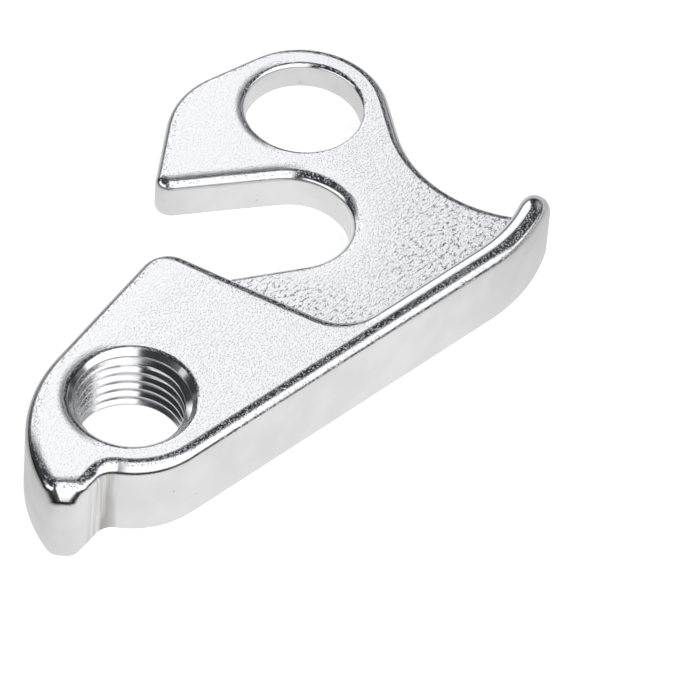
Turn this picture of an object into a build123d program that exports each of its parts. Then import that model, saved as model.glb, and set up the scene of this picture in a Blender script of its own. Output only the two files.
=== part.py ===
from build123d import *
import os
from math import acos, asin, atan2, cos, degrees, hypot, radians, sin, sqrt, tan

# Bicycle derailleur hanger: one forged and machined aluminium piece, in millimetres.
# The origin is on the fixing bore's axis, in the plane of the seat that meets the bicycle's frame.
# +X runs along the straight outer wall towards the tip of the rim, and +Z leaves the seat.

# Heights
plate_thickness = 3.7  # seat to underside
step_height = 4.0  # lug and rim above the seat

# Fixing bore and the rounded head of the plate about it
fixing_bore_diameter = 10.2
fixing_lip_radius = 0.45
nut_ledge_width = 1.2  # the ledge in the bore that the nut's flange bears on
nut_recess_depth = 1.15
head_wall = 1.25  # round the recess

# Axle slot, open at its far end
axle_x = -9.6
axle_y = -9.3
slot_width = 10.1
slot_angle = 148.5  # from the axle towards the mouth

# Wing of the plate beside the slot's mouth
head_edge_angle = 171.5  # the edge that leaves the head
wing_edge_angle = 40.5
wing_edge_distance = 11.47  # from the fixing bore's axis
wing_upper_radius = 8.0
wing_corner_land = 0.45  # what the lower corner's radius has over the edge's

# Hollow edge between the head and the rim's tip
cove_radius = 11.8
cove_angle = -41.7  # from the fixing bore's axis to the hollow's centre
cove_gap = 0.43  # between the head's circle and the hollow's

# Straight outer wall, and the rim that carries on from it
outer_wall_distance = 26.35  # from the fixing bore's axis
rim_centre_x = -1.95
rim_radius = 16.0
rim_width = 2.5
rim_crown_flat = 0.1  # left between the rim's two rounded edges
rim_outer_end_angle = -53.3
rim_inner_end_angle = -47.3  # the end leans, so the inner corner reaches further
rim_nose_radius = 3.2

# Derailleur thread and the round boss about it
thread_x = -35.85
thread_major_diameter = 10.0
boss_wall = 2.9
thread_mouth_flare = 0.55
thread_mouth_depth = 0.5
thread_lip_radius = 0.5
thread_back_chamfer = 1.0

# Lug: step face to the plate, back edge, rounded end and the derailleur's stop
step_foot_x = -16.7
step_angle = 109.3
step_foot_radius = 4.0
back_edge_angle = 15.0
back_edge_distance = 7.9  # from the thread's axis
lug_corner_radius = 2.7
slot_wall_bite = 0.1  # how far inside the lug's corner the slot's wall aims
lug_end_radius = 14.0
lug_end_shift = 0.25  # the end's centre from the thread's axis, along the back edge
stop_tip_radius = 1.8
stop_tip_angle = 168.4
stop_bevel = 1.3  # slope at the tip
stop_bevel_rounding = 1.0
stop_face_angle = 13.0
stop_root_radius = 1.5

# Broken edges
plate_edge_radius = 0.95
underside_edge_radius = 0.3
recess_edge_radius = 0.2


def heading(angle):
    return Vector(cos(radians(angle)), sin(radians(angle)))


def crossing(start_a, angle_a, start_b, angle_b):
    # where two straight lines cross
    along_b = heading(angle_b)
    gap = start_b - start_a
    turn = heading(angle_a).cross(along_b).Z
    return start_a + heading(angle_a) * (gap.cross(along_b).Z / turn)


def bearing(start, end):
    return degrees(atan2(end.Y - start.Y, end.X - start.X))


def distance(start, end):
    return hypot(end.X - start.X, end.Y - start.Y)


def cylinder_between(centre, radius, low, high):
    face = Pos(centre.X, centre.Y, low) * Circle(radius)
    return extrude(face, high - low)


underside = -plate_thickness
lug_top = step_height
bore_axis = Vector(0, 0)
axle = Vector(axle_x, axle_y)
slot_radius = slot_width / 2
bore_radius = fixing_bore_diameter / 2
recess_radius = bore_radius + nut_ledge_width
head_radius = recess_radius + head_wall
thread_radius = thread_major_diameter / 2
mouth_radius = thread_radius + thread_mouth_flare
boss_radius = thread_radius + boss_wall
outer_wall_y = -outer_wall_distance
thread_axis = Vector(thread_x, outer_wall_y + boss_radius)
rim_centre = Vector(rim_centre_x, outer_wall_y + rim_radius)
rim_inner_radius = rim_radius - rim_width
rim_inner_y = outer_wall_y + rim_width
lug_edge_radius = (rim_width - rim_crown_flat) / 2
wing_lower_radius = plate_edge_radius + wing_corner_land

# Lug and rim outline, from the boss along the outer wall and back
boss_foot = Vector(thread_axis.X, outer_wall_y)
rim_start = Vector(rim_centre.X, outer_wall_y)
rim_inner_start = Vector(rim_centre.X, rim_inner_y)
rim_outer_arc = CenterArc(rim_centre, rim_radius, -90, rim_outer_end_angle + 90)
rim_inner_arc = CenterArc(rim_centre, rim_inner_radius, rim_inner_end_angle, -90 - rim_inner_end_angle)

step_foot = Vector(step_foot_x, rim_inner_y)
back_normal = heading(back_edge_angle + 90)
back_point = thread_axis + back_normal * back_edge_distance
lug_corner = crossing(step_foot, step_angle, back_point, back_edge_angle)

end_centre = (
    thread_axis
    + heading(back_edge_angle) * lug_end_shift
    - back_normal * (lug_end_radius - back_edge_distance)
)
end_start = end_centre + back_normal * lug_end_radius
stop_centre = end_centre + heading(stop_tip_angle) * (lug_end_radius - stop_tip_radius)
end_sweep = stop_tip_angle - back_edge_angle - 90
lug_end_arc = CenterArc(end_centre, lug_end_radius, back_edge_angle + 90, end_sweep)

# The stop's working face runs from its blunt tip into the boss
stop_sweep = stop_face_angle + 270 - stop_tip_angle
stop_tip_half = stop_tip_radius * tan(radians(stop_sweep / 4))
stop_tip_outer = lug_end_arc @ 1 + heading(stop_tip_angle + 90) * stop_tip_half
stop_face_start = stop_centre + heading(stop_face_angle - 90) * stop_tip_radius
stop_tip_inner = stop_face_start - heading(stop_face_angle) * stop_tip_half
stop_gap = thread_axis - stop_tip_inner
stop_offset = stop_gap.dot(heading(stop_face_angle + 90))
stop_run = stop_gap.dot(heading(stop_face_angle)) - sqrt(boss_radius**2 - stop_offset**2)
stop_root = stop_tip_inner + heading(stop_face_angle) * stop_run
boss_start = bearing(thread_axis, stop_root)
boss_arc = CenterArc(thread_axis, boss_radius, boss_start, -90 - boss_start)

lug_outline = [
    Line(boss_foot, rim_start),
    rim_outer_arc,
    Line(rim_outer_arc @ 1, rim_inner_arc @ 0),
    rim_inner_arc,
    Line(rim_inner_start, step_foot),
    Line(step_foot, lug_corner),
    Line(lug_corner, end_start),
    lug_end_arc,
    Line(lug_end_arc @ 1, stop_tip_outer),
    Line(stop_tip_outer, stop_tip_inner),
    Line(stop_tip_inner, stop_root),
    boss_arc,
]
lug_face = make_face(lug_outline)


def round_corner(face, corner, radius):
    nearest = face.vertices().sort_by_distance(corner)[0]
    return fillet(nearest, radius)


lug_face = round_corner(lug_face, step_foot, step_foot_radius)
lug_face = round_corner(lug_face, lug_corner, lug_corner_radius)
lug_face = round_corner(lug_face, stop_root, stop_root_radius)
lug = extrude(Pos(0, 0, underside) * lug_face, lug_top - underside)


def round_nose(solid, start, end, radius):
    # rolls the top of a blunt end down
    middle = (start + end) / 2 + Vector(0, 0, lug_top)
    return fillet(solid.edges().sort_by_distance(middle)[0], radius)


def bevel_end(solid, start, end, depth, rounding):
    # slopes the top of a blunt end off and rounds the slope's two edges
    middle = (start + end) / 2 + Vector(0, 0, lug_top)
    inward = heading(bearing(start, end) + 90) * depth
    solid = chamfer(solid.edges().sort_by_distance(middle)[0], depth)
    for place in (middle + inward, middle - Vector(0, 0, depth)):
        solid = fillet(solid.edges().sort_by_distance(place)[0], rounding)
    return solid


# Take the rim's end and the stop's tip down, then break the edges of the lug and rim
lug = round_nose(lug, rim_outer_arc @ 1, rim_inner_arc @ 0, rim_nose_radius)
lug = bevel_end(lug, stop_tip_outer, stop_tip_inner, stop_bevel, stop_bevel_rounding)
lug = fillet(lug.faces().sort_by(Axis.Z)[-1].edges(), lug_edge_radius)
lug = fillet(lug.faces().sort_by(Axis.Z)[0].edges(), underside_edge_radius)

# Plate outline, from the rim's tip round the head, the wing and the slot, closed inside the lug
cove_reach = head_radius + cove_radius + cove_gap
cove_centre = bore_axis + heading(cove_angle) * cove_reach
head_angle = cove_angle + degrees(acos((head_radius + cove_radius) / cove_reach))
rim_middle_radius = rim_radius - rim_width / 2
tip_reach = distance(rim_centre, cove_centre)
tip_square = rim_middle_radius**2 + tip_reach**2 - cove_radius**2
tip_turn = acos(tip_square / (2 * rim_middle_radius * tip_reach))
tip_angle = bearing(rim_centre, cove_centre) - degrees(tip_turn)
tip_inside = rim_centre + heading(tip_angle) * rim_middle_radius
cove_start = bearing(cove_centre, tip_inside) % 360
cove_arc = CenterArc(cove_centre, cove_radius, cove_start, head_angle + 180 - cove_start)

head_arc = CenterArc(bore_axis, head_radius, head_angle, head_edge_angle - 90 - head_angle)
slot_normal = heading(slot_angle - 90)
wing_point = heading(wing_edge_angle + 90) * wing_edge_distance
wing_upper = crossing(head_arc @ 1, head_edge_angle, wing_point, wing_edge_angle)
wing_lower = crossing(axle + slot_normal * slot_radius, slot_angle, wing_point, wing_edge_angle)

# The slot's wall beside the lug aims just inside the lug's rounded corner
corner_half = (180 - step_angle + back_edge_angle) / 2
corner_depth = lug_corner_radius / sin(radians(corner_half))
corner_centre = lug_corner + heading(back_edge_angle + 180 + corner_half) * corner_depth
aim_radius = lug_corner_radius - slot_wall_bite
aim_turn = degrees(asin((slot_radius + aim_radius) / distance(axle, corner_centre)))
near_wall_angle = bearing(axle, corner_centre) % 360 - aim_turn
near_normal = heading(near_wall_angle + 90)
slot_end_arc = CenterArc(axle, slot_radius, slot_angle - 90, near_wall_angle - slot_angle - 180)

rim_middle_y = outer_wall_y + rim_width / 2
plate_outline = [
    cove_arc,
    Line(cove_arc @ 1, head_arc @ 0),
    head_arc,
    Line(head_arc @ 1, wing_upper),
    Line(wing_upper, wing_lower),
    Line(wing_lower, slot_end_arc @ 0),
    slot_end_arc,
    Line(slot_end_arc @ 1, corner_centre - near_normal * aim_radius),
    Line(corner_centre - near_normal * aim_radius, corner_centre),
    Line(corner_centre, Vector(step_foot.X, rim_middle_y)),
    Line(Vector(step_foot.X, rim_middle_y), Vector(rim_centre.X, rim_middle_y)),
    CenterArc(rim_centre, rim_middle_radius, -90, tip_angle + 90),
]
plate_face = make_face(plate_outline)
plate_face = round_corner(plate_face, wing_upper, wing_upper_radius)
plate_face = round_corner(plate_face, wing_lower, wing_lower_radius)
plate = extrude(Pos(0, 0, underside) * plate_face, plate_thickness)


def free_edges(face):
    # the edges that are not closed inside the lug
    lift = Vector(0, 0, step_height / 2)
    return face.edges().filter_by(lambda edge: not lug.is_inside(edge @ 0.5 + lift))


plate = fillet(free_edges(plate.faces().sort_by(Axis.Z)[-1]), plate_edge_radius)
plate = fillet(free_edges(plate.faces().sort_by(Axis.Z)[0]), underside_edge_radius)
body = plate + lug

# Fixing bore, with a recess under it that lets the nut's flange lie flush
body -= cylinder_between(bore_axis, bore_radius, underside, lug_top)
body -= cylinder_between(bore_axis, recess_radius, underside, underside + nut_recess_depth)

# Derailleur thread at its major diameter, opened at both ends
body -= cylinder_between(thread_axis, thread_radius, underside, lug_top)
mouth_middle = lug_top - thread_mouth_depth / 2
body -= Pos(thread_axis.X, thread_axis.Y, mouth_middle) * Cone(
    thread_radius, mouth_radius, thread_mouth_depth
)
back_middle = underside + thread_back_chamfer / 2
body -= Pos(thread_axis.X, thread_axis.Y, back_middle) * Cone(
    thread_radius + thread_back_chamfer, thread_radius, thread_back_chamfer
)


def round_rim(solid, centre, radius, height, rounding):
    # breaks the circular edge of a hole
    place = Vector(centre.X + radius, centre.Y, height)
    return fillet(solid.edges().filter_by(GeomType.CIRCLE).sort_by_distance(place)[0], rounding)


body = round_rim(body, bore_axis, bore_radius, 0, fixing_lip_radius)
body = round_rim(body, bore_axis, recess_radius, underside, recess_edge_radius)
body = round_rim(body, thread_axis, mouth_radius, lug_top, thread_lip_radius)

os.makedirs("parts", exist_ok=True)
export_step(body, "parts/hanger.step")
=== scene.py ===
import bmesh
import bpy
import math
from mathutils import Matrix, Vector


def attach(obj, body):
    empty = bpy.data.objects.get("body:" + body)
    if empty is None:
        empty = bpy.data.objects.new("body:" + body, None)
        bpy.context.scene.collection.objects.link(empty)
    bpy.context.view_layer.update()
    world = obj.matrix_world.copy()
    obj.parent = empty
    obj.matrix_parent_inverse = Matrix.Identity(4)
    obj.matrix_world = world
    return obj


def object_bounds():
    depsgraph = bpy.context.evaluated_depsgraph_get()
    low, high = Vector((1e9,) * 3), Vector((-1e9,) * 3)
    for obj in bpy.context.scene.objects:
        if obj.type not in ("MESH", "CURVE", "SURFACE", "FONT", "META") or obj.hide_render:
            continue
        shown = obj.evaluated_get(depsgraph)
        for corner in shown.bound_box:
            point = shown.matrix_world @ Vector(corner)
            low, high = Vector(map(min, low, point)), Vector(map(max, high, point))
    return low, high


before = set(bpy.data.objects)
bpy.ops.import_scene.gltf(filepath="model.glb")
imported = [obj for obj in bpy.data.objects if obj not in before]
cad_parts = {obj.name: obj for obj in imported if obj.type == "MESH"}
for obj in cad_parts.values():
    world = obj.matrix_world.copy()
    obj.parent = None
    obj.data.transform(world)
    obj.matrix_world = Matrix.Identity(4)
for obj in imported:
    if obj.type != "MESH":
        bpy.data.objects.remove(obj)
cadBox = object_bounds()
scene = bpy.context.scene
scene.view_settings.view_transform = "Standard"
print("frame loaded:", sorted(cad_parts))


class Wire:
    # one output socket, with its sums written as plain expressions
    def __init__(self, tree, socket=None):
        self.tree = tree
        self.socket = socket

    def node(self, kind, settings, sockets, output=0):
        made = self.tree.nodes.new(kind)
        for key, value in settings.items():
            setattr(made, key, value)
        for key, value in sockets.items():
            if isinstance(value, Wire):
                self.tree.links.new(value.socket, made.inputs[key])
            else:
                made.inputs[key].default_value = value
        return Wire(self.tree, made.outputs[output])

    def math(self, operation, first, second=0.0):
        return self.node("ShaderNodeMath", {"operation": operation}, {0: first, 1: second})

    def __add__(self, other):
        return self.math("ADD", self, other)

    def __radd__(self, other):
        return self.math("ADD", other, self)

    def __sub__(self, other):
        return self.math("SUBTRACT", self, other)

    def __rsub__(self, other):
        return self.math("SUBTRACT", other, self)

    def __mul__(self, other):
        return self.math("MULTIPLY", self, other)

    def __rmul__(self, other):
        return self.math("MULTIPLY", other, self)

    def step(self, low, high):
        # 0 at low, 1 at high, smooth between
        return self.node(
            "ShaderNodeMapRange",
            {"interpolation_type": "SMOOTHSTEP"},
            {"Value": self, "From Min": low, "From Max": high, "To Min": 0.0, "To Max": 1.0},
        )

    def along(self, direction):
        # how far a vector reaches in a direction
        return self.node(
            "ShaderNodeVectorMath", {"operation": "DOT_PRODUCT"}, {0: self, 1: direction}, "Value"
        )

    def apart(self, point):
        # how far a place lies from a point
        return self.node("ShaderNodeVectorMath", {"operation": "DISTANCE"}, {0: self, 1: point}, "Value")

    def stretched(self, factors):
        return self.node("ShaderNodeVectorMath", {"operation": "MULTIPLY"}, {0: self, 1: factors})

    def noise(self, scale, detail):
        return self.node("ShaderNodeTexNoise", {}, {"Vector": self, "Scale": scale, "Detail": detail})

    def blend(self, share, first, second):
        return self.node(
            "ShaderNodeMix", {"data_type": "RGBA"}, {"Factor": share, "A": first, "B": second}, "Result"
        )

    def finish(self, kind):
        # ends the tree in its output node
        out = self.tree.nodes.new(kind)
        self.tree.links.new(self.socket, out.inputs["Surface"])


def makeMaterial(name):
    skin = bpy.data.materials.new(name)
    skin.use_nodes = True
    skin.node_tree.nodes.clear()
    return skin, Wire(skin.node_tree)


# camera, at the height and turn that the object is seen from
cameraPlace = {
    "target": Vector((-0.013465, -0.021158, -0.0037)),
    "heading": math.radians(44.38),
    "elevation": math.radians(48.0),
    "roll": math.radians(4.7),
    "distance": 0.6,
    "lens": 364.1,
    "clipEnd": 20.0,
}
levelAway = Vector((math.cos(cameraPlace["heading"]), math.sin(cameraPlace["heading"]), 0.0))
levelRight = Vector((levelAway.y, -levelAway.x, 0.0))
levelUp = Vector((0.0, 0.0, 1.0))
laidFlat = (1.0, 1.0, 0.0)  # takes the height out of a place


def makeCamera(place):
    forward = levelAway * math.cos(place["elevation"]) - levelUp * math.sin(place["elevation"])
    lift = levelRight.cross(forward)
    right = levelRight * math.cos(place["roll"]) + lift * math.sin(place["roll"])
    up = lift * math.cos(place["roll"]) - levelRight * math.sin(place["roll"])
    data = bpy.data.cameras.new("camera")
    data.lens = place["lens"]
    data.clip_end = place["clipEnd"]
    camera = bpy.data.objects.new("camera", data)
    scene.collection.objects.link(camera)
    turn = Matrix((right, up, -forward)).transposed().to_4x4()
    camera.matrix_world = Matrix.Translation(place["target"] - forward * place["distance"]) @ turn
    scene.camera = camera


makeCamera(cameraPlace)
print("camera placed")


# studio: wide soft panels behind and in front with low ones at the sides, above a white table whose glow
# seen in reflections is a painted pool of light with painted shade towards its left and right
studio = {
    "backPanelReach": (0.44, 0.64),  # how far behind the object it starts
    "backPanelLean": 0.45,
    "backPanelEdge": (-0.31, -0.22),  # its leaning right-hand edge
    "backPanelFoot": (0.10, 0.28),
    "frontPanelReach": (-0.06, 0.06),  # how far in front of the object it starts
    "frontPanelEdge": (-0.10, 0.0),  # its left-hand edge
    "frontPanelFoot": (0.10, 0.20),
    "farRightEdge": (0.89, 0.95),  # where its far right-hand end wraps round
    "sidePanelEdge": (0.25, 0.45),  # low panels that close the two open corners
    "sidePanelTop": (0.45, 0.55),
    "rightPanelShare": 0.3,  # how bright the right one is
    "panelColour": (1.0, 1.0, 1.0, 1.0),
    "panelLight": 1.17,
    "gapColour": (0.025, 0.026, 0.031, 1.0),
    "tableColour": (0.76, 0.76, 0.76, 1.0),
    "tableDrop": 0.00002,
    "tableHalf": 3.0,
    "tableSeen": (0.77, 0.77, 0.77, 1.0),
    "tableMirrored": (0.83, 0.83, 0.83, 1.0),
    "unlit": (0.0, 0.0, 0.0, 1.0),
    "paintedPoolMiddle": Vector((-0.0175, -0.0212, 0.0)),  # the middle of a painted pool of light on the table, seen only in reflections
    "paintedPoolReach": (0.036, 0.060),
    # a painted brighter strip on the table's far right side, seen only in reflections
    "paintedLitFarSide": Vector((0.9, 0.44, 0.0)),
    "paintedLitFarSideReach": (0.004, 0.022),
    # painted shade on the table's glow towards its left and right, seen only in reflections
    "paintedLeftShade": Vector((-0.6, 0.8, 0.0)),
    "paintedLeftShadeReach": (0.002, 0.030),
    "paintedLeftShadeDepth": 0.5,
    "paintedRightShade": Vector((1.0, 0.0, 0.0)),
    "paintedRightShadeReach": (-0.010, 0.020),
    "paintedRightShadeDepth": 0.35,
}


def makeStudio(facts):
    world = bpy.data.worlds.new("studio")
    scene.world = world
    world.use_nodes = True
    world.node_tree.nodes.clear()
    base = Wire(world.node_tree)
    ray = base.node("ShaderNodeTexCoord", {}, {}, "Generated")
    reach = ray.along(levelAway)
    side = ray.along(levelRight)
    height = ray.along(levelUp)
    leaning = side - height * facts["backPanelLean"]
    low = 1 - height.step(*facts["sidePanelTop"])
    lowRight = low * side.step(*facts["sidePanelEdge"]) * facts["rightPanelShare"]
    lowLeft = low * (0 - side).step(*facts["sidePanelEdge"])
    back = base.math("MAXIMUM", 1 - leaning.step(*facts["backPanelEdge"]), lowRight)
    back = back * reach.step(*facts["backPanelReach"]) * height.step(*facts["backPanelFoot"])
    front = base.math("MAXIMUM", side.step(*facts["frontPanelEdge"]), lowLeft)
    front = front * (0 - reach).step(*facts["frontPanelReach"])
    front = base.math("MAXIMUM", front, side.step(*facts["farRightEdge"]))
    front = front * height.step(*facts["frontPanelFoot"])
    lit = base.math("MAXIMUM", back, front)
    colour = base.blend(lit, facts["gapColour"], facts["panelColour"])
    light = base.node("ShaderNodeBackground", {}, {"Color": colour, "Strength": facts["panelLight"]})
    light.finish("ShaderNodeOutputWorld")

    bm = bmesh.new()
    bmesh.ops.create_grid(bm, x_segments=1, y_segments=1, size=facts["tableHalf"])
    bmesh.ops.translate(bm, verts=bm.verts, vec=(0.0, 0.0, cadBox[0].z - facts["tableDrop"]))
    mesh = bpy.data.meshes.new("table")
    bm.to_mesh(mesh)
    bm.free()
    table = bpy.data.objects.new("table", mesh)
    scene.collection.objects.link(table)
    paper, base = makeMaterial("paper")
    matt = base.node("ShaderNodeBsdfDiffuse", {}, {"Color": facts["tableColour"]})
    seen = base.node("ShaderNodeLightPath", {}, {}, "Is Camera Ray")
    mirrored = base.node("ShaderNodeLightPath", {}, {}, "Is Glossy Ray")
    seen = base.blend(seen, facts["unlit"], facts["tableSeen"])
    glow = base.node("ShaderNodeEmission", {}, {"Color": seen})
    lying = base.node("ShaderNodeAddShader", {}, {0: matt, 1: glow})
    # the table's glow in reflections: a painted pool of light and a painted lit far side, dimmed by
    # painted shade towards its left and right
    place = base.node("ShaderNodeTexCoord", {}, {}, "Object").stretched(laidFlat)
    paintedLightAndShade = 1 - place.apart(facts["paintedPoolMiddle"]).step(*facts["paintedPoolReach"])
    paintedLightAndShade = base.math("MAXIMUM", paintedLightAndShade, place.along(facts["paintedLitFarSide"]).step(*facts["paintedLitFarSideReach"]))
    # painted shade towards the table's left and right
    for edge in ("paintedLeftShade", "paintedRightShade"):
        shade = place.along(facts[edge]).step(*facts[edge + "Reach"])
        paintedLightAndShade = paintedLightAndShade * (1 - shade * facts[edge + "Depth"])
    paintedLightAndShade = base.blend(paintedLightAndShade, facts["unlit"], facts["tableMirrored"])
    shine = base.node("ShaderNodeEmission", {}, {"Color": paintedLightAndShade})
    base.node(
        "ShaderNodeMixShader", {}, {0: mirrored, 1: lying, 2: shine}
    ).finish("ShaderNodeOutputMaterial")
    mesh.materials.append(paper)


makeStudio(studio)
print("studio lit")


# bright tumbled aluminium of the forging, pitted on its flats and smoother on its walls
forgedAluminium = {
    "colour": (0.965, 0.973, 1.0, 1.0),
    "flatMetal": 0.82,  # the flats are a little satin
    "flatTilt": (0.985, 0.9995),  # how far up a face looks, for each kind of face
    "edgeTilt": (0.75, 0.88),
    "wallTilt": (0.3, 0.6),
    "outwardTilt": (0.035, 0.18),
    "raisedHeight": (0.0002, 0.001),
    "wallColour": (0.935, 0.935, 0.935, 1.0),
    "cloudColour": (0.895, 0.895, 0.895, 1.0),
    "speckColour": (0.55, 0.55, 0.55, 1.0),
    "streakColour": (0.34, 0.325, 0.31, 1.0),
    "roughness": 0.16,
    "wallRoughness": 0.24,
    "grainScale": 7500.0,
    "coarseScale": 3600.0,
    "coarseStretch": (0.55, 1.0, 1.0),  # the coarse pits are long in the direction of the rim
    "grainDepth": 0.0001,
    "wallGrain": 0.012,
    "quietGrain": 0.035,
    "lugGrain": 0.062,
    "plateGrain": 0.075,
    "coarseGrain": 0.27,
    "edgeGrain": 0.30,
    "rimGrain": 0.28,
    "scuffGrain": 0.35,
    "scuffRise": (0.3, 0.45),
    "scuffFall": (0.6, 0.75),
    "scuffStart": (-0.034, -0.028),
    "wornGrain": 1.0,
    "finePits": (0.55, 0.75),
    "fineDetail": 1.0,
    "coarsePits": (0.55, 0.72),
    "coarseDetail": 2.0,
    "coarseHeading": Vector((0.6, -0.9, 0.0)),
    "plateRise": (-0.002, 0.008),
    "coarseRise": (0.008, 0.019),
    "lugRise": (-0.044, -0.028),
    "lugBrow": Vector((-0.030, -0.0097, 0.0)),  # the lug's back edge, rubbed smooth
    "browAngle": math.radians(103.2),
    "browReach": (-0.0035, -0.0008),
    "rimStart": (-0.0165, -0.0125),
    "threadAxis": Vector((-0.03585, -0.01845, 0.0)),
    "cutReach": (0.0053, 0.0058),
    "wornAngle": math.radians(134.4),  # the side of the holes that is worn
    "wornSide": (0.001, 0.004),
    "lipFade": 0.001,
    "threadLip": (0.0064, 0.005),  # where a worn lip starts, and how round it is
    "boreAxis": Vector((0.0, 0.0, 0.0)),
    "boreLip": (0.0061, 0.005),
    "axle": Vector((-0.0096, -0.0093, 0.0)),
    "slotAngle": math.radians(148.5),
    "slotLip": (0.0068, 0.0045),
    "slotSide": (0.003, 0.005),
    "slotLength": (-0.003, 0.001),
    "slotRub": (0.0058, 0.0076),  # how far the axle has rubbed the pits away
    "rubShare": 0.7,
    "stopBevel": Vector((-0.04607, -0.0221, 0.0)),
    "stopAngle": math.radians(50.7),
    "stopLip": (0.0008, 0.005),
    "stopReach": (0.002, 0.0035),
    "stepMiddle": Vector((-0.02025, -0.01590, 0.0)),
    "stepAngle": math.radians(199.3),
    "stepCoarse": (-0.009, -0.004),  # coarse pits at the foot of the step
    "stepShare": 0.75,
    "stepSide": (-0.0002, 0.0002),
    "stepLip": (0.0010, 0.02),
    "stepReach": (0.003, 0.0052),
    "cloudScale": 260.0,
    "cloudDetail": 3.0,
    "cloudPatches": (0.35, 0.65),
    "speckScale": 900.0,
    "speckSize": (0.04, 0.09),
    "speckPatchScale": 500.0,
    "speckPatchDetail": 1.0,
    "speckPatches": (0.50, 0.56),
    "speckShare": 0.8,
    "streakScale": 1400.0,
    "streakStretch": (1.0, 1.0, 0.06),
    "streakDetail": 2.0,
    "streakPatches": (0.38, 0.62),
    "streakTilt": (-0.7, -0.3),
    "streakShare": 0.8,
    "notch": Vector((-0.043, -0.0215, 0.0)),
    "notchReach": (0.0012, 0.003),
}


def wornLip(gap, lip, fade):
    # how far the lip has dropped, and how near it is
    start, rounding = lip
    drop = gap.math("MAXIMUM", start - gap, 0.0)
    return drop * drop * (0.5 / rounding), 1 - gap.step(start - fade, start)


def beyond(plan, point, angle):
    # how far a place lies past a point, in a direction
    direction = Vector((math.cos(angle), math.sin(angle), 0.0))
    return plan.along(direction) - point.dot(direction)


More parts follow.
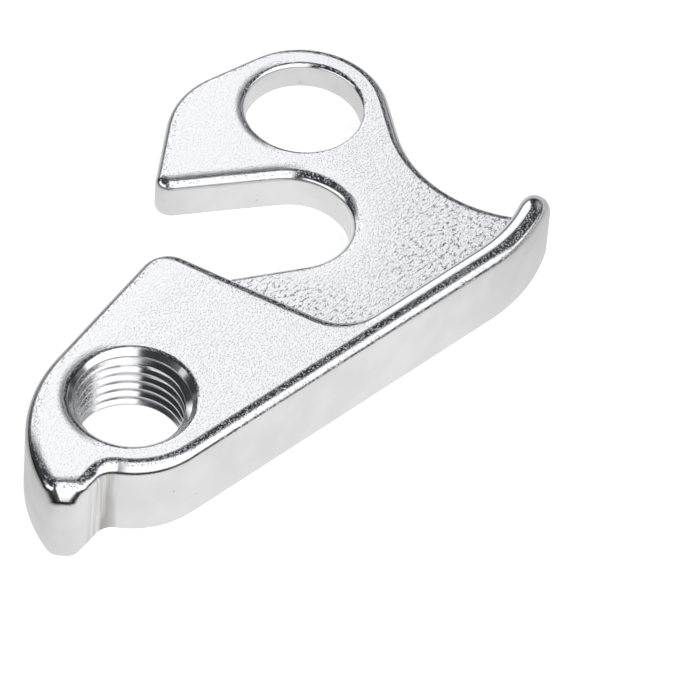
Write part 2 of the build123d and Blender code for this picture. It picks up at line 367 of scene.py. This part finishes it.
def makeForgedAluminium(facts):
    skin, base = makeMaterial("forgedAluminium")
    place = base.node("ShaderNodeTexCoord", {}, {}, "Object")
    normal = base.node("ShaderNodeTexCoord", {}, {}, "Normal")
    facing = normal.along(levelUp)
    height = place.along(levelUp)
    lengthwise = place.along((1.0, 0.0, 0.0))
    plan = place.stretched(laidFlat)
    flat = facing.step(*facts["flatTilt"])
    wall = 1 - facing.step(*facts["wallTilt"])
    edge = facing.step(*facts["edgeTilt"]) * (1 - flat)
    raised = height.step(*facts["raisedHeight"])
    rim = raised * lengthwise.step(*facts["rimStart"])
    brow = beyond(plan, facts["lugBrow"], facts["browAngle"]).step(*facts["browReach"])
    lug = raised * (1 - rim) * (1 - brow) * lengthwise.step(*facts["lugRise"])
    cut = 1 - plan.apart(facts["threadAxis"]).step(*facts["cutReach"])
    outward = normal.along((0.0, -1.0, 0.0)).step(*facts["outwardTilt"])

    # pits of the tumbling, coarsest on the plate beside the rim
    towardsRim = place.along(facts["coarseHeading"])
    acrossStep = beyond(plan, facts["stepMiddle"], facts["stepAngle"])
    plate = towardsRim.step(*facts["plateRise"]) * (1 - raised)
    coarse = towardsRim.step(*facts["coarseRise"])
    coarse = base.math("MAXIMUM", coarse, acrossStep.step(*facts["stepCoarse"]) * facts["stepShare"])
    rubbed = 1 - plan.apart(facts["axle"]).step(*facts["slotRub"])
    coarse = coarse * (1 - raised) * flat * (1 - rubbed)
    amount = facts["quietGrain"] + plate * (facts["plateGrain"] - facts["quietGrain"])
    amount = amount + lug * (facts["lugGrain"] - facts["quietGrain"])
    amount = flat * (amount - facts["wallGrain"]) * (1 - rim) * (1 - rubbed * facts["rubShare"])
    amount = facts["wallGrain"] + amount

    # lips that have worn round: how far off each is, its form, and where it is worn
    byBore = beyond(plan, facts["boreAxis"], facts["wornAngle"]).step(*facts["wornSide"])
    byThread = beyond(plan, facts["threadAxis"], facts["wornAngle"]).step(*facts["wornSide"])
    acrossSlot = beyond(plan, facts["axle"], facts["slotAngle"] - math.pi / 2)
    alongSlot = beyond(plan, facts["axle"], facts["slotAngle"])
    bySlot = acrossSlot.step(*facts["slotSide"]) * alongSlot.step(*facts["slotLength"])
    acrossStop = beyond(plan, facts["stopBevel"], facts["stopAngle"])
    byStop = 1 - plan.apart(facts["stopBevel"]).step(*facts["stopReach"])
    byStep = 1 - plan.apart(facts["stepMiddle"]).step(*facts["stepReach"])
    byStep = acrossStep.step(*facts["stepSide"]) * byStep * raised
    lips = (
        (plan.apart(facts["boreAxis"]), facts["boreLip"], byBore),
        (plan.apart(facts["threadAxis"]), facts["threadLip"], byThread),
        (acrossSlot, facts["slotLip"], bySlot),
        (acrossStop, facts["stopLip"], byStop),
        (acrossStep, facts["stepLip"], byStep),
    )
    sunk = 0.0
    for gap, lip, where in lips:
        drop, near = wornLip(gap, lip, facts["lipFade"])
        sunk = sunk + drop * where
        amount = amount + near * where * flat * facts["wornGrain"]

    # fuzz along the edges and scuffs below the rim, then all of the relief together
    fuzz = facts["edgeGrain"] * (1 - rim) + facts["rimGrain"] * rim * outward
    scuffs = facing.step(*facts["scuffRise"]) * (1 - facing.step(*facts["scuffFall"]))
    scuffs = scuffs * outward * raised * lengthwise.step(*facts["scuffStart"])
    amount = (amount + edge * fuzz + scuffs * facts["scuffGrain"]) * (1 - cut)
    fine = place.noise(facts["grainScale"], facts["fineDetail"])
    rough = place.stretched(facts["coarseStretch"])
    rough = rough.noise(facts["coarseScale"], facts["coarseDetail"])
    pits = fine.step(*facts["finePits"]) * amount
    relief = pits + rough.step(*facts["coarsePits"]) * coarse * facts["coarseGrain"]
    relief = relief - sunk * (1 / facts["grainDepth"]) * (1 - cut)
    bump = base.node(
        "ShaderNodeBump", {}, {"Strength": 1.0, "Distance": facts["grainDepth"], "Height": relief}
    )

    # cloudy walls with a few specks, and streaks where the stop meets the boss
    cloud = place.noise(facts["cloudScale"], facts["cloudDetail"]).step(*facts["cloudPatches"])
    cells = base.node(
        "ShaderNodeTexVoronoi", {}, {"Vector": place, "Scale": facts["speckScale"]}, "Distance"
    )
    specks = place.noise(facts["speckPatchScale"], facts["speckPatchDetail"])
    specks = (1 - cells.step(*facts["speckSize"])) * specks.step(*facts["speckPatches"])
    streaks = place.stretched(facts["streakStretch"])
    streaks = streaks.noise(facts["streakScale"], facts["streakDetail"]).step(*facts["streakPatches"])
    streaks = streaks * (1 - plan.apart(facts["notch"]).step(*facts["notchReach"]))
    streaks = streaks * facing.step(*facts["streakTilt"])
    colour = base.blend(cloud, facts["wallColour"], facts["cloudColour"])
    colour = base.blend(streaks * facts["streakShare"], colour, facts["streakColour"])
    colour = base.blend(specks * facts["speckShare"], colour, facts["speckColour"])
    colour = base.blend(wall, facts["colour"], colour)
    sheen = facts["roughness"] + wall * cloud * (facts["wallRoughness"] - facts["roughness"])
    metal = 1 - flat * (1 - facts["flatMetal"])
    base.node(
        "ShaderNodeBsdfPrincipled",
        {},
        {"Base Color": colour, "Metallic": metal, "Roughness": sheen, "Normal": bump},
    ).finish("ShaderNodeOutputMaterial")
    return skin


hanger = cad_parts["hanger"]
hanger.data.materials.clear()
hanger.data.materials.append(makeForgedAluminium(forgedAluminium))
print("hanger finished")


# turns of the derailleur thread, a ridge wound up the wall of its bore
threadTurns = {
    "axis": forgedAluminium["threadAxis"],
    "wallRadius": 0.005,
    "crestRadius": 0.00446,
    "rootDepth": 0.00025,
    "pitch": 0.001,
    "crestWidth": 0.000125,
    "flankAngle": math.radians(30.0),
    "crestRounding": 0.00003,
    "crestSegments": 2,
    "bottom": -0.0031,
    "top": 0.0034,
    "stepsPerTurn": 72,
    "mouth": (0.0035, 0.00055 / 0.0005),  # where the mouth starts to open, and how fast
    "back": (-0.0027, 1.0),
    "sink": 0.00003,
    "sharpAngle": math.radians(40.0),
    "colour": (0.93, 0.93, 0.94, 1.0),
    "roughness": 0.12,
    "markedRoughness": 0.24,
    "toolMarkStretch": (0.12, 0.12, 1.0),
    "toolMarkScale": 3000.0,
    "toolMarkDetail": 2.0,
    "toolMarkPatches": (0.45, 0.65),
    "toolMarkDepth": 0.000004,
    "tornAngle": forgedAluminium["wornAngle"],  # the side where the thread is torn
    "tornReach": (0.0018, 0.0046),
    "tornScale": 9000.0,
    "tornDetail": 2.0,
    "tornPatches": (0.45, 0.65),
    "tornDepth": 0.00001,
}


def makeCutAluminium(facts):
    # bright metal with the cutter's fine marks lying round the bore
    skin, base = makeMaterial("cutAluminium")
    place = base.node("ShaderNodeTexCoord", {}, {}, "Object")
    marks = place.stretched(facts["toolMarkStretch"])
    marks = marks.noise(facts["toolMarkScale"], facts["toolMarkDetail"])
    torn = beyond(place, facts["axis"], facts["tornAngle"]).step(*facts["tornReach"])
    torn = torn * place.noise(facts["tornScale"], facts["tornDetail"]).step(*facts["tornPatches"])
    relief = marks + torn * (facts["tornDepth"] / facts["toolMarkDepth"])
    bump = base.node(
        "ShaderNodeBump", {}, {"Strength": 1.0, "Distance": facts["toolMarkDepth"], "Height": relief}
    )
    rubbed = marks.step(*facts["toolMarkPatches"]) * (facts["markedRoughness"] - facts["roughness"])
    rubbed = facts["roughness"] + rubbed
    base.node(
        "ShaderNodeBsdfPrincipled",
        {},
        {"Base Color": facts["colour"], "Metallic": 1.0, "Roughness": rubbed, "Normal": bump},
    ).finish("ShaderNodeOutputMaterial")
    return skin


def makeThreadTurns(facts):
    baseRadius = facts["wallRadius"] + facts["rootDepth"]
    spread = (baseRadius - facts["crestRadius"]) * math.tan(facts["flankAngle"])
    crestHalf = facts["crestWidth"] / 2
    profile = (
        (baseRadius, -crestHalf - spread),
        (baseRadius, crestHalf + spread),
        (facts["crestRadius"], crestHalf),
        (facts["crestRadius"], -crestHalf),
    )
    bm = bmesh.new()
    corners = [bm.verts.new((radius, 0.0, facts["bottom"] + lift)) for radius, lift in profile]
    bm.faces.new(corners)
    bmesh.ops.bevel(
        bm, geom=corners[2:], offset=facts["crestRounding"], segments=facts["crestSegments"],
        profile=0.5, affect="VERTICES", material=-1,
    )
    turns = (facts["top"] - facts["bottom"]) / facts["pitch"]
    steps = round(turns * facts["stepsPerTurn"])
    bmesh.ops.spin(
        bm, geom=bm.verts[:] + bm.edges[:] + bm.faces[:], cent=(0.0, 0.0, 0.0), axis=(0.0, 0.0, 1.0),
        dvec=(0.0, 0.0, (facts["top"] - facts["bottom"]) / steps), angle=turns * math.tau, steps=steps,
        use_merge=False, use_duplicate=False,
    )
    mouthStart, mouthRate = facts["mouth"]
    backStart, backRate = facts["back"]
    for vert in bm.verts:
        # the ridge sinks away where the bore opens out at its ends
        radius = Vector((vert.co.x, vert.co.y)).length
        opening = max((vert.co.z - mouthStart) * mouthRate, (backStart - vert.co.z) * backRate)
        depth = facts["sink"] + (radius - facts["crestRadius"]) / 2
        grown = max(radius, facts["wallRadius"] + opening + depth)
        vert.co.x *= grown / radius
        vert.co.y *= grown / radius
    bmesh.ops.translate(bm, verts=bm.verts, vec=facts["axis"])
    bmesh.ops.recalc_face_normals(bm, faces=bm.faces)
    print("thread edges left open:", sum(1 for edge in bm.edges if not edge.is_manifold))
    mesh = bpy.data.meshes.new("threadTurns")
    bm.to_mesh(mesh)
    bm.free()
    mesh.shade_smooth()
    mesh.set_sharp_from_angle(angle=facts["sharpAngle"])
    turnsPiece = bpy.data.objects.new("threadTurns", mesh)
    scene.collection.objects.link(turnsPiece)
    mesh.materials.append(makeCutAluminium(facts))
    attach(turnsPiece, "root")


makeThreadTurns(threadTurns)
print("thread cut")
